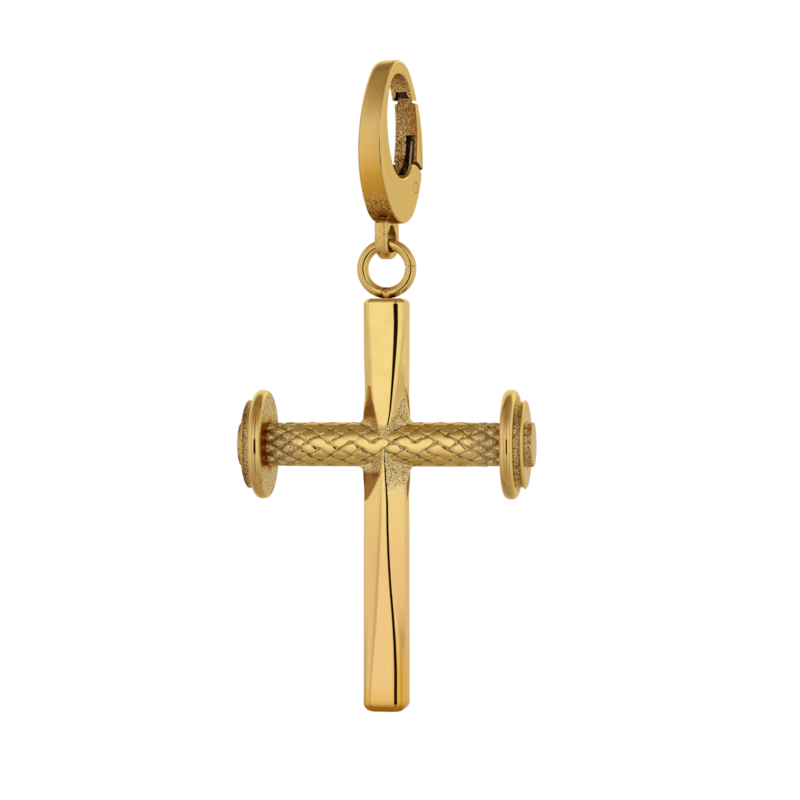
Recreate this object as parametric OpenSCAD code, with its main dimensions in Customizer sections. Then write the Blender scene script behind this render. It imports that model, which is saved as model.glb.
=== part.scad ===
// Cross pendant on an oval gate clasp, millimetres, +Z up.
// The origin is the spot on the clasp's inner top that the pendant hangs from.
// The cross faces -Y with its crossbar along X, and the clasp is turned almost edge on to it.

/* [Clasp] */
// Height of the egg-shaped clasp, without the bail
clasp_h = 17.9; // [17:0.1:19]
// Width of the clasp in its own plane
clasp_w = 11.3; // [11.1:0.1:11.8]
// Thickness of the clasp at its top
clasp_top_t = 2.4; // [2.2:0.1:2.6]
// Thickness of the clasp at its bottom
clasp_bottom_t = 3.3; // [3.1:0.1:3.5]
// Wall over the hanging opening
top_wall = 1.58; // [1.4:0.01:1.7]
// Height of the opening
opening_h = 11.32; // [11:0.02:11.6]
// Width of the opening
opening_w = 7.34; // [7.2:0.02:7.5]
// Turn of the clasp's plane from the plane of the cross, in degrees
clasp_turn = 74.7; // [70:0.1:90]
// Sideways offset of the clasp's middle from the hanging line
clasp_shift = 1; // [0.9:0.05:1.1]
// Sideways offset of the opening's middle from the hanging line
opening_shift = 1; // [0.9:0.05:1.1]

/* [Gate] */
// Diameter of the rivet that the gate turns on
pin_d = 1.2; // [1:0.05:1.3]
// Radius of the rounded cheeks about the rivet
cheek_r = 2.6; // [2.5:0.05:2.7]
// Width of the slot between the cheeks
slot_w = 2.14; // [2:0.02:2.2]
// Inward swing of the gate that the slot leaves room for, in degrees
gate_swing = 24; // [15:1:28]
// Wire of the gate's spring
spring_wire_d = 0.24; // [0.2:0.02:0.3]

/* [Bail and jump ring] */
// Width of the bail across its two legs
bail_w = 3.8; // [3.8:0.05:4]
// Width of the bail's strip along the ring's wire
bail_t = 1.4; // [1.2:0.05:1.4]
// Drop of the bail below the clasp
bail_drop = 3.92; // [3.8:0.02:4]
// Outside diameter of the jump ring
ring_d = 6.55; // [6.4:0.05:6.7]
// Wire of the jump ring
wire_d = 1.25; // [1.2:0.01:1.27]

/* [Cross] */
// Height of the upright bar
upright_h = 45; // [42:0.5:50]
// Width and depth of the bar at its ends
bar_w = 4.6; // [4.5:0.05:4.7]
// Drop of the crossing below the bar's top
crossing_drop = 15.9; // [15:0.1:18]
// Diameter of the crossbar over its scales
rod_d = 4.8; // [4.7:0.05:5]
// Span of the crossbar between its heads
rod_l = 25.96; // [24:0.02:30]
// Scales side by side round the crossbar
scales_round = 10; // [8:1:12]
// Columns of scales along the crossbar, half steps counted
scale_columns = 22; // [20:2:26]
// Depth of the grooves between the scales
groove_depth = 0.2; // [0.1:0.01:0.25]

/* [Heads] */
// Diameter of the round-edged rim
rim_d = 11.94; // [11:0.02:12.5]
// Diameter of the second disc
disc_d = 9.66; // [9:0.02:10]
// Diameter of the boss
boss_d = 4.88; // [4.5:0.02:5]

/* [Hidden] */
$fn = 96;
gap = 0.02;
reach = 20;

// Clasp outlines, in the clasp's plane with x to the gate's side and y up
opening_top_r = 3.1;
opening_bottom_r = 3;
opening_widest = 0.47;
clasp_top_r = 3.6;
clasp_bottom_r = 4.1;
clasp_widest = 0.54;
apex_y = opening_top_r - sqrt(pow(opening_top_r, 2) - pow(opening_shift, 2));
clasp_top_y = apex_y + top_wall;
clasp_bottom_y = clasp_top_y - clasp_h;
tangent_overlap = 0.004;

// Gate, its window in the ring, and the rivet
hook_y = apex_y - 2.52;
joint_gap = 0.33;
gate_top_y = hook_y - joint_gap;
pin_x = 4.32;
pin_y = apex_y - 12.17;
window_x = 2.9;
window_y = pin_y + 1.65;
relief_r = 14;
relief_x = 5.3 - relief_r;
relief_y = apex_y - 6.3;
tongue_n0 = 0.06 - slot_w / 2;
tongue_n1 = -0.05;
heel_r = 1.75;
collar_r = 1.05;
slot_clearance = 0.15;
swing_margin = 6;
neck = [[pin_x - 1.28, pin_y + 1.2], [pin_x - 0.1, pin_y + 2.3], [pin_x + 0.74, pin_y + 3.6]];
pocket_n1 = 1.02;
pocket_top_y = apex_y - 6.31;
pocket_x = 5.9;
mortise_w = 1.38;
mortise_mouth_w = 2.04;
mortise_flare = 0.55;
mortise_y = apex_y - 1.66;
mortise_wall = 0.42;
tenon_w = 1.24;
tenon_foot_w = 1.9;
tenon_y = apex_y - 2.3;
tenon_wall = 0.54;
pin_fit = 0.02;
gate_fit = 0.05;
stop_gap = 0.06;

// Spring: a plain sleeve for its coil and one straight arm
coil_r = 0.92;
coil_n0 = 0.18;
coil_n1 = 0.9;
arm_n = 0.62;
arm_foot = [0.2, 0.8];
arm_tip = [1.1, 5.1];

// Bail, drawn in the clasp's plane
bail_bottom_y = clasp_bottom_y - bail_drop;
bail_floor = 0.8;
bail_seat_y = bail_bottom_y + bail_floor;
bail_leg = 0.77;
bail_hole_w = bail_w - 2 * bail_leg;
bail_seat_r = 0.7;
bail_shoulder_y = clasp_bottom_y + 0.25;
bail_shoulder_r = 0.8;
bail_neck_w = 2.6;
bail_root_y = clasp_bottom_y + 1.5;
arch_spring_y = bail_seat_y + 1.85;
arch_top_y = clasp_bottom_y - 0.15;

// Jump ring, hanging in the bail, and its lug let into the bar's top
ring_r = (ring_d - wire_d) / 2;
hang_clearance = 0.2;
swing_z = bail_seat_y + hang_clearance + wire_d / 2;
ring_z = swing_z - ring_r;
split_w = 0.12;
split_angle = 5;
lug_w = 0.66;
lug_r = 0.82;
foot_d = 0.8;
foot_l = 1.2;

// Cross
bar_top_z = ring_z - ring_d / 2 - gap;
bar_bottom_z = bar_top_z - upright_h;
crossing_z = bar_top_z - crossing_drop;
top_corner_r = 0.7;
bottom_corner_r = 1;
half_bar = bar_w / 2;
end_flat = 1.8;
side_end_flat = 1.6;
crossing_flat = 0.12;
upper_spread = 3.6;
lower_spread = 26;
side_crossing_flat = 0.4;
side_spread = 6;
profile_steps = 14;

// Crossbar scales
rod_r = rod_d / 2;
groove_r = rod_r - groove_depth;
pad_drop = 0.03;
pad_r = rod_r - pad_drop;
pad_inset = 0.76;
half_pitch = rod_l / scale_columns;
around = 2 * scales_round;
columns = scale_columns / 2;
tenon_r = 1;
tenon_l = 1.5;

// Head profile, counted outwards from the rod's end
rim_r = rim_d / 2;
rim_t = 1.45;
rim_inner_r = 0.35;
rim_outer_r = 0.6;
wall_inset = 0.18;
disc_r = disc_d / 2;
disc_edge_x = 2.11;
disc_face_x = 2.45;
disc_bevel = 0.3;
boss_r = boss_d / 2;
head_t = 3.21;

// Half thickness of the clasp at height y: its faces lean in towards the top
function face_n(y) =
    clasp_top_t / 2 + (clasp_bottom_t - clasp_top_t) / 2 * (clasp_top_y - y) / clasp_h;

// Radius of the side arc that meets an end arc and stands upright at the widest line
function side_r(half_w, end_r, rise) =
    (rise * rise + half_w * half_w - end_r * end_r) / (2 * (half_w - end_r));

// Stands a clasp-plane shape up and turns it: x to the gate, y up, z along the face normal
module on_clasp() {
    rotate([0, 0, clasp_turn]) rotate([90, 0, 0]) children();
}

// Upper half of an egg, with its widest line on y = 0
module half_egg(half_w, height, end_r) {
    rise = height - end_r;
    arc_r = side_r(half_w, end_r, rise);
    tangent_y = rise + end_r * rise / (arc_r - end_r);
    intersection() {
        translate([half_w - arc_r, 0]) circle(arc_r);
        translate([arc_r - half_w, 0]) circle(arc_r);
        translate([-half_w, 0]) square([2 * half_w, tangent_y]);
    }
    translate([0, rise]) circle(end_r + tangent_overlap);
}

// Egg with its widest line on y = 0, drawn in by an even wall all round
module egg(w, h, widest, top_r, bottom_r, inset = 0) {
    half_egg(w / 2 - inset, h * widest - inset, top_r - inset);
    mirror([0, 1]) half_egg(w / 2 - inset, h * (1 - widest) - inset, bottom_r - inset);
}

module clasp_outline(inset = 0) {
    translate([clasp_shift, clasp_top_y - clasp_h * clasp_widest])
        egg(clasp_w, clasp_h, clasp_widest, clasp_top_r, clasp_bottom_r, inset);
}

module opening_outline() {
    translate([opening_shift, apex_y - opening_h * opening_widest])
        egg(opening_w, opening_h, opening_widest, opening_top_r, opening_bottom_r);
}

module ring_outline() {
    difference() {
        clasp_outline();
        opening_outline();
    }
}

// The space between the clasp's two leaning faces
module between_faces() {
    high = clasp_top_y + 1;
    low = clasp_bottom_y - 1;
    rotate([0, -90, 0]) linear_extrude(2 * reach, center = true) polygon([
        [-face_n(high), high], [face_n(high), high], [face_n(low), low], [-face_n(low), low]
    ]);
}

// A flat slice between two distances along the face normal
module slice(from, to) {
    translate([0, 0, from]) linear_extrude(to - from) children();
}

// The same outline through the clasp's whole thickness
module through() {
    slice(-reach / 2, reach / 2) children();
}

// A shape drawn with its height first and its place across the clasp second, pushed through sideways
module sideways() {
    rotate([90, 0, 90]) linear_extrude(reach) children();
}

// Symmetric profile across the clasp from a table of [height, half width], from its foot up
module across(levels) {
    last = len(levels) - 1;
    sideways() polygon(concat(
        [for (level = levels) [level[0], level[1]]],
        [for (i = [last : -1 : 0]) [levels[i][0], -levels[i][1]]]
    ));
}

module pin_hole(clearance) {
    translate([pin_x, pin_y, 0]) cylinder(d = pin_d + 2 * clearance, h = reach, center = true);
}

module gate_window() {
    difference() {
        translate([window_x, window_y]) square([reach, hook_y - window_y]);
        translate([pin_x, pin_y]) circle(cheek_r);
    }
}

// The quarter of a disc that the gate's heel fills, turned inwards with the gate
module heel_quarter(r, swing) {
    intersection() {
        circle(r);
        rotate(swing) translate([-reach, 0]) square([reach, reach]);
    }
}

// Room for the gate's tongue between the cheeks, shut and swung in
module tongue_slot() {
    heel = heel_r + slot_clearance;
    translate([pin_x, pin_y]) {
        heel_quarter(heel, gate_swing + swing_margin);
        circle(collar_r + slot_clearance);
        translate([-heel, 0]) square([reach, hook_y - pin_y]);
    }
}

// Round-bottomed strip with round shoulders and a narrower neck up into the clasp
module bail_outline() {
    half = bail_w / 2;
    middle_y = bail_bottom_y + half;
    shoulder_x = half - bail_shoulder_r;
    translate([0, middle_y]) circle(half);
    translate([-half, middle_y]) square([bail_w, bail_shoulder_y - bail_shoulder_r - middle_y]);
    translate([-shoulder_x, middle_y]) square([2 * shoulder_x, bail_shoulder_y - middle_y]);
    for (side = [-1, 1])
        translate([side * shoulder_x, bail_shoulder_y - bail_shoulder_r]) circle(bail_shoulder_r);
    translate([-bail_neck_w / 2, middle_y]) square([bail_neck_w, bail_root_y - middle_y]);
}

// The ring's hole in the bail: a seat with round corners under a pointed arch
module bail_hole() {
    half = bail_hole_w / 2;
    corner_y = bail_seat_y + bail_seat_r;
    for (side = [-1, 1])
        translate([side * (half - bail_seat_r), corner_y]) circle(bail_seat_r);
    translate([bail_seat_r - half, bail_seat_y]) square([bail_hole_w - 2 * bail_seat_r, bail_seat_r]);
    polygon([[-half, corner_y], [half, corner_y], [half, arch_spring_y],
             [0, arch_top_y], [-half, arch_spring_y]]);
}

module clasp_body() {
    color([0.79, 0.64, 0.37]) on_clasp() difference() {
        union() {
            intersection() {
                through() ring_outline();
                between_faces();
            }
            difference() {
                slice(-bail_t / 2, bail_t / 2) bail_outline();
                through() opening_outline();
            }
        }
        through() gate_window();
        slice(-slot_w / 2, slot_w / 2) tongue_slot();
        intersection() {
            through() clasp_outline(mortise_wall);
            across([
                [hook_y - 1, mortise_mouth_w / 2],
                [hook_y, mortise_mouth_w / 2],
                [hook_y + mortise_flare, mortise_w / 2],
                [mortise_y, mortise_w / 2]
            ]);
        }
        through() bail_hole();
        pin_hole(pin_fit);
    }
}

// The part of the ring that the gate fills, thinned on its inner side
module arm_outline() {
    intersection() {
        clasp_outline();
        difference() {
            translate([window_x, window_y]) square([reach, gate_top_y - window_y]);
            translate([relief_x, relief_y]) circle(relief_r);
            translate([pin_x, pin_y]) circle(cheek_r + joint_gap);
        }
    }
}

// The tongue between the cheeks: a collar round the rivet, a heel and a neck
module tongue_outline() {
    intersection() {
        clasp_outline();
        union() {
            translate([pin_x, pin_y]) {
                circle(collar_r);
                heel_quarter(heel_r, 0);
            }
            polygon([[pin_x, pin_y], neck[0], neck[1], neck[2],
                     [pin_x + heel_r, neck[2][1]], [pin_x + heel_r, pin_y + stop_gap]]);
        }
    }
}

module gate() {
    color([0.80, 0.66, 0.40]) on_clasp() difference() {
        union() {
            intersection() {
                through() arm_outline();
                between_faces();
            }
            slice(tongue_n0, tongue_n1) tongue_outline();
            intersection() {
                through() difference() {
                    clasp_outline(tenon_wall);
                    translate([relief_x, relief_y]) circle(relief_r);
                }
                across([
                    [gate_top_y - 0.5, tenon_foot_w / 2],
                    [gate_top_y, tenon_foot_w / 2],
                    [tenon_y, tenon_w / 2]
                ]);
            }
        }
        slice(tongue_n1, pocket_n1)
            translate([window_x, pin_y]) square([pocket_x - window_x, pocket_top_y - pin_y]);
        pin_hole(gate_fit);
    }
}

module gate_pin() {
    color([0.78, 0.63, 0.38]) on_clasp() intersection() {
        pin_hole(0);
        between_faces();
    }
}

module gate_spring() {
    arm = arm_tip - arm_foot;
    lean = atan2(arm[0], arm[1]);
    color([0.62, 0.62, 0.64]) on_clasp() translate([pin_x, pin_y, 0]) {
        difference() {
            translate([0, 0, coil_n0]) cylinder(r = coil_r, h = coil_n1 - coil_n0);
            cylinder(d = pin_d + 4 * gate_fit, h = reach, center = true);
        }
        translate([arm_foot[0], arm_foot[1], arm_n]) rotate([0, 0, -lean]) rotate([-90, 0, 0])
            cylinder(d = spring_wire_d, h = norm(arm));
    }
}

// Lug in the plane across the ring, cradling the wire, with a round foot let into the bar
module ring_lug() {
    low_z = ring_z - ring_r;
    intersection() {
        translate([0, 0, low_z]) rotate([0, 90, 0]) cylinder(r = lug_r, h = lug_w, center = true);
        translate([-reach / 2, -reach / 2, bar_top_z + gap]) cube([reach, reach, low_z - bar_top_z - gap]);
    }
    translate([0, 0, bar_top_z - foot_l]) cylinder(d = foot_d, h = low_z - bar_top_z + foot_l);
}

module jump_ring() {
    color([0.80, 0.66, 0.40]) {
        difference() {
            translate([0, 0, ring_z]) rotate([90, 0, 0])
                rotate_extrude() translate([ring_r, 0]) circle(d = wire_d);
            translate([0, 0, ring_z]) rotate([0, -split_angle, 0])
                translate([0, -wire_d, -split_w / 2]) cube([ring_d, 2 * wire_d, split_w]);
        }
        ring_lug();
    }
}

// Half widths of the bar's flats at a distance above the crossing, or below where negative.
// The front flats close fast above the crossing and slowly below it, and the side flats only near the rod.
function smooth(t) = t * t * (3 - 2 * t);
function front_flat(rise) =
    rise >= 0
    ? crossing_flat + (end_flat - crossing_flat) * (1 - exp(-rise / upper_spread))
    : crossing_flat + (end_flat - crossing_flat) * smooth(min(1, -rise / lower_spread));
function side_flat(rise) = side_crossing_flat
    + (side_end_flat - side_crossing_flat) * smooth(min(1, abs(rise) / side_spread));

// Section heights, closer together near the crossing where the flats close
function rise_at(i, far) = far * pow(i / profile_steps, 1.5);

// Eight corners of the bar at one height, anticlockwise from the front's right
function bar_section(rise) =
    let (h = half_bar + gap / 2, f = front_flat(rise), s = side_flat(rise), z = crossing_z + rise)
    [[f, -h, z], [h, -s, z], [h, s, z], [f, h, z], [-f, h, z], [-h, s, z], [-h, -s, z], [-f, -h, z]];

// The bar with its four corner facets, which widen towards the crossing
module faceted_bar() {
    up = crossing_drop + 1;
    down = crossing_drop - upright_h - 1;
    rises = concat(
        [for (i = [profile_steps : -1 : 1]) rise_at(i, down)],
        [for (i = [0 : profile_steps]) rise_at(i, up)]
    );
    top = 8 * (len(rises) - 1);
    walls = [for (k = [0 : len(rises) - 2]) for (c = [0 : 7])
        let (low = 8 * k + c, next = 8 * k + (c + 1) % 8)
        each [[low, low + 8, next + 8], [low, next + 8, next]]];
    polyhedron(
        [for (rise = rises) each bar_section(rise)],
        concat([[for (c = [0 : 7]) c]], walls, [[for (c = [7 : -1 : 0]) top + c]])
    );
}

// Front outline of the bar, rounder at its foot, pushed through along one axis
module bar_outline(turn) {
    translate([0, 0, bar_top_z]) rotate([0, 0, turn]) rotate([90, 0, 0])
        linear_extrude(2 * bar_w, center = true) {
            translate([-half_bar, bottom_corner_r - upright_h])
                square([bar_w, upright_h - bottom_corner_r - top_corner_r]);
            translate([top_corner_r - half_bar, -upright_h])
                square([bar_w - 2 * top_corner_r, upright_h]);
            for (side = [-1, 1]) {
                translate([side * (half_bar - top_corner_r), -top_corner_r]) circle(top_corner_r);
                translate([side * (half_bar - bottom_corner_r), bottom_corner_r - upright_h])
                    circle(bottom_corner_r);
            }
        }
}

module upright() {
    intersection() {
        bar_outline(0);
        bar_outline(90);
        faceted_bar();
    }
}

// A point of the scale pattern: i half steps along the rod, j half steps round it
function scale_point(i, j, r) =
    let (a = j * 360 / around) [i * half_pitch, -r * cos(a), r * sin(a)];
function groove_index(i, j) = (i + columns) * around + (j % around + around) % around;

// Scaled rod as one closed surface: groove crossings, and a raised pad in each lozenge
module scaled_rod() {
    cells = [for (i = [1 - columns : columns - 1]) for (j = [0 : around - 1])
        if ((i + j + columns) % 2 == 1) [i, j]];
    lattice = [for (i = [-columns : columns]) for (j = [0 : around - 1])
        scale_point(i, j, groove_r)];
    pads = [for (c = cells) each [
        scale_point(c[0] - pad_inset, c[1], pad_r),
        scale_point(c[0], c[1] - pad_inset, pad_r),
        scale_point(c[0] + pad_inset, c[1], pad_r),
        scale_point(c[0], c[1] + pad_inset, pad_r),
        scale_point(c[0], c[1], rod_r)
    ]];
    base = len(lattice);
    sides = [for (k = [0 : len(cells) - 1]) for (s = [0 : 3])
        let (
            i = cells[k][0],
            j = cells[k][1],
            corners = [groove_index(i - 1, j), groove_index(i, j - 1), groove_index(i + 1, j), groove_index(i, j + 1)],
            pad = base + 5 * k,
            next = (s + 1) % 4
        )
        each [
            [corners[s], pad + next, corners[next]],
            [corners[s], pad + s, pad + next],
            [pad + s, pad + 4, pad + next]
        ]];
    ends = [for (end = [-1, 1]) for (j = [0 : around - 1])
        if ((end * columns + j + columns) % 2 == 1)
        let (
            tip = groove_index(end * (columns - 1), j),
            low = groove_index(end * columns, j - 1),
            mid = groove_index(end * columns, j),
            high = groove_index(end * columns, j + 1)
        )
        each (end > 0 ? [[tip, mid, low], [tip, high, mid]] : [[tip, low, mid], [tip, mid, high]])];
    caps = [
        [for (j = [around - 1 : -1 : 0]) groove_index(-columns, j)],
        [for (j = [0 : around - 1]) groove_index(columns, j)]
    ];
    translate([0, 0, crossing_z]) polyhedron(concat(lattice, pads), concat(sides, ends, caps));
}

module cross_body() {
    color([0.86, 0.71, 0.44]) difference() {
        union() {
            upright();
            scaled_rod();
        }
        translate([0, 0, bar_top_z - foot_l - gap]) cylinder(d = foot_d + 2 * gap, h = reach / 2);
        for (side = [-1, 1])
            translate([side * rod_l / 2, 0, crossing_z]) rotate([0, 90, 0])
                cylinder(r = tenon_r + gap, h = 2 * (tenon_l + gap), center = true);
    }
}

// Head turned about the rod's axis: a round-edged rim, a second disc and a boss
module head_profile() {
    disc_wall_r = disc_r - wall_inset;
    square([disc_wall_r, disc_edge_x]);
    square([rim_r - rim_outer_r, rim_t]);
    square([rim_r - rim_inner_r, rim_t - rim_outer_r]);
    translate([0, rim_inner_r]) square([rim_r, rim_t - rim_inner_r - rim_outer_r]);
    translate([rim_r - rim_inner_r, rim_inner_r]) circle(rim_inner_r);
    translate([rim_r - rim_outer_r, rim_t - rim_outer_r]) circle(rim_outer_r);
    translate([0, disc_edge_x - disc_bevel / 2]) square([disc_r, disc_bevel / 2]);
    polygon([[0, disc_edge_x], [disc_r, disc_edge_x], [disc_r - disc_bevel, disc_face_x], [0, disc_face_x]]);
    square([boss_r, head_t]);
}

module head(side) {
    color([0.78, 0.62, 0.36])
        translate([side * (rod_l / 2 + gap), 0, crossing_z]) rotate([0, side * 90, 0]) {
            rotate_extrude() head_profile();
            translate([0, 0, -tenon_l]) cylinder(r = tenon_r, h = tenon_l);
        }
}

module left_head() {
    head(-1);
}

module right_head() {
    head(1);
}

clasp_body();
gate();
gate_pin();
gate_spring();
jump_ring();
cross_body();
left_head();
right_head();
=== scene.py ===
"""Looks of the cross pendant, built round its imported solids.

Shapes are made in millimetres in the model's own frame and scaled to metres at the end.
+Z is up, the cross faces -Y, and the origin is the spot that the pendant hangs from.
"""
import math
from functools import partial

import bmesh
import bpy
import numpy as np
from mathutils import Matrix


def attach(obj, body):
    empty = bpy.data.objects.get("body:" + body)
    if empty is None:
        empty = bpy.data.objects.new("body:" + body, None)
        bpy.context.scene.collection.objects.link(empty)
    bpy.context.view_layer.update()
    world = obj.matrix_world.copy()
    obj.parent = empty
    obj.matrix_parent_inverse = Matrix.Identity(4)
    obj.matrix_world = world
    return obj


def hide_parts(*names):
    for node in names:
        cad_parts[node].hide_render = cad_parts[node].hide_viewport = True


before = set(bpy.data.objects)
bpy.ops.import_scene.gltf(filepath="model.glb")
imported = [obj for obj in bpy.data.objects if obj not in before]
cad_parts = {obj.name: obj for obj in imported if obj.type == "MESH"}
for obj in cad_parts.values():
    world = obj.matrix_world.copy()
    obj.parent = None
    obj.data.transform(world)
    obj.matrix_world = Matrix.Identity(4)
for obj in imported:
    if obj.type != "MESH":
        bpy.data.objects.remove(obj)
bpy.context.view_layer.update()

MM = 0.001
SEED = 7

# Sizes of the solids, in millimetres
CLASP_TURN = math.radians(74.7)
APEX = 3.1 - math.sqrt(3.1 ** 2 - 1)
CLASP_TOP = APEX + 1.58
CLASP_H = 17.9
CLASP_HALF_W = 5.65
CLASP_SHIFT = 1.0
CLASP_WIDEST = 0.54
CLASP_END_R = (3.6, 4.1)
FACE_TOP = 1.2
FACE_BOTTOM = 1.65
OPENING = {"shift": 1.0, "half_w": 3.67, "total": 11.32, "widest": 0.47, "end_rs": (3.1, 3.0)}
HOOK_Y = APEX - 2.52
JOINT_GAP = 0.33
GATE_TOP_Y = HOOK_Y - JOINT_GAP
PIN = (4.32, APEX - 12.17)
PIN_R = 0.6
CHEEK_R = 2.6
SLOT_HALF_W = 1.07
HEEL_R = 1.75
COLLAR_R = 1.05
SLOT_CLEARANCE = 0.15
SWING = math.radians(30)
NECK = np.add(PIN, [(0.74, 3.6), (-0.1, 2.3), (-1.28, 1.2)])
WINDOW_X = 2.9
WINDOW_LEFT = 2.0
RELIEF_R = 14.0
RELIEF = (5.3 - RELIEF_R, APEX - 6.3)
TONGUE_N = (-1.01, -0.05)
POCKET_N = (-0.05, 1.02)
POCKET_TOP = APEX - 6.31
POCKET_X = 5.9
MORTISE_HALF_W = 0.69
MORTISE_MOUTH = 1.02
MORTISE_FLARE = 0.55
MORTISE_TOP = APEX - 1.66
MORTISE_WALL = 0.42
TENON_HALF_W = 0.62
TENON_FOOT = 0.95
TENON_TOP = APEX - 2.3
TENON_WALL = 0.54
CLASP_BOTTOM = CLASP_TOP - CLASP_H
BAIL_HALF_W = 1.9
BAIL_HALF_T = 0.7
BAIL_BOTTOM = CLASP_BOTTOM - 3.92
BAIL_SEAT = BAIL_BOTTOM + 0.8
BAIL_HOLE_HALF = 1.13
BAIL_ARCH = BAIL_SEAT + 1.85
RING_R = 2.65
WIRE_R = 0.625
RING_Z = BAIL_SEAT + 0.2 + WIRE_R - RING_R
SPLIT_TURN = math.radians(5)
BAR_TOP = RING_Z - 3.275 - 0.02
BAR_H = 45.0
BAR_BOTTOM = BAR_TOP - BAR_H
HALF_BAR = 2.3
CROSSING = BAR_TOP - 15.9
ROD_R = 2.4
ROD_HALF = 12.98
HALF_PITCH = 25.96 / 22
ROW_TURN = math.radians(18)
FIRST_ROW = math.radians(6.3)
HEAD_X = ROD_HALF + 0.02
REACH = 9.0
FOOT_TOP = -6.0

U_AXIS = np.array([math.cos(CLASP_TURN), math.sin(CLASP_TURN), 0.0])
N_AXIS = np.array([math.sin(CLASP_TURN), -math.cos(CLASP_TURN), 0.0])
Z_AXIS = np.array([0.0, 0.0, 1.0])


# Camera at the photograph's viewing angle
VIEW_TURN = math.radians(8.7)
VIEW_DISTANCE = 355.0
LOOK_AT = np.array([1.431, 0.219, -35.449])
VIEW_AXIS = np.array([math.sin(VIEW_TURN), -math.cos(VIEW_TURN), 0.0])

camera_data = bpy.data.cameras.new("camera")
camera_data.sensor_width = 36.0
camera_data.lens = 146.25
camera_data.clip_start = 0.01
camera_data.clip_end = 20.0
camera = bpy.data.objects.new("camera", camera_data)
camera.location = (LOOK_AT + VIEW_DISTANCE * VIEW_AXIS) * MM
camera.rotation_euler = (math.pi / 2, 0, VIEW_TURN)
bpy.context.scene.collection.objects.link(camera)
bpy.context.scene.camera = camera


# Node helpers
def feed(tree, socket, value):
    """Links another node's output to a socket, or sets a number or colour on it."""
    if isinstance(value, (int, float)):
        socket.default_value = value
    elif isinstance(value, tuple):
        socket.default_value = (*value, 1.0)
    else:
        tree.links.new(value, socket)


def add(tree, kind, *first, **named):
    """New node with values for its first sockets and for those that are named."""
    node = tree.nodes.new(kind)
    for socket, value in (*enumerate(first), *named.items()):
        feed(tree, node.inputs[socket], value)
    return node


def math_node(tree, operation, a, b):
    node = add(tree, "ShaderNodeMath", a, b)
    node.operation = operation
    return node.outputs[0]


def multiply(tree, a, b):
    return math_node(tree, "MULTIPLY", a, b)


def map_range(tree, value, low, high, to_low=0.0, to_high=1.0, smooth=True):
    node = add(tree, "ShaderNodeMapRange", value, low, high, to_low, to_high)
    node.interpolation_type = "SMOOTHSTEP" if smooth else "LINEAR"
    return node.outputs[0]


def mix_colour(tree, factor, a, b, blend="MIX"):
    node = tree.nodes.new("ShaderNodeMix")
    node.data_type = "RGBA"
    node.blend_type = blend
    for number, value in ((0, factor), (6, a), (7, b)):
        feed(tree, node.inputs[number], value)
    return node.outputs[2]


def node_tools(tree):
    """The helpers for nodes, sums, products, ranges and mixes of colour, for one tree."""
    return [partial(helper, tree) for helper in (add, math_node, multiply, map_range, mix_colour)]


# World: a pale light tent with a dimmer ceiling and table, a dark opening in front, a dim seam over and
# under it, and a brighter wall high up behind. Rows are an azimuth in degrees, 0 in front and 90 at the
# right, the tent's brightness there and how warm it is.
TENT = (
    (-180, 0.70, 0), (-150, 0.72, 0), (-115, 0.64, 0), (-92, 0.68, 0), (-72, 0.9, 0.1), (-50, 0.88, 0.2),
    (-36, 0.86, 0.2), (-28, 0.66, 0.3), (-18, 0.72, 0.3), (-12, 1.0, 0.03), (32, 1.0, 0.03), (52, 0.9, 0.1),
    (68, 0.64, 0.4), (77, 0.88, 0.1), (100, 0.92, 0), (128, 0.8, 0), (155, 0.78, 0), (176, 0.72, 0),
)
TENT_TURN = math.radians(10.5)
# Low and high limits and the softness of their edges, as parts of a direction, the seam's side in radians
GAP_SIDE = (-0.225, 0.225, 0.03)
GAP_UP = (-0.34, 0.2, 0.04)
SEAM_SIDE = (-0.12, 0.12, 0.04)
SEAM_UP = (-0.95, 0.97, 0.04)
SEAM_DARK = 0.66
WALL_UP = (0.28, 0.75, 0.12)
WARM_LIGHT = (1.0, 0.74, 0.38)
COOL_LIGHT = (1.0, 0.985, 0.95)


def direction_part(tree, coords, *vector):
    node = add(tree, "ShaderNodeVectorMath", coords)
    node.operation = "DOT_PRODUCT"
    node.inputs[1].default_value = vector
    return node.outputs["Value"]


def band(tree, value, low, high, soft):
    """1 between two values with soft edges, 0 outside."""
    rising = map_range(tree, value, low - soft, low + soft)
    falling = map_range(tree, value, high - soft, high + soft, 1.0, 0.0)
    return multiply(tree, rising, falling)


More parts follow.
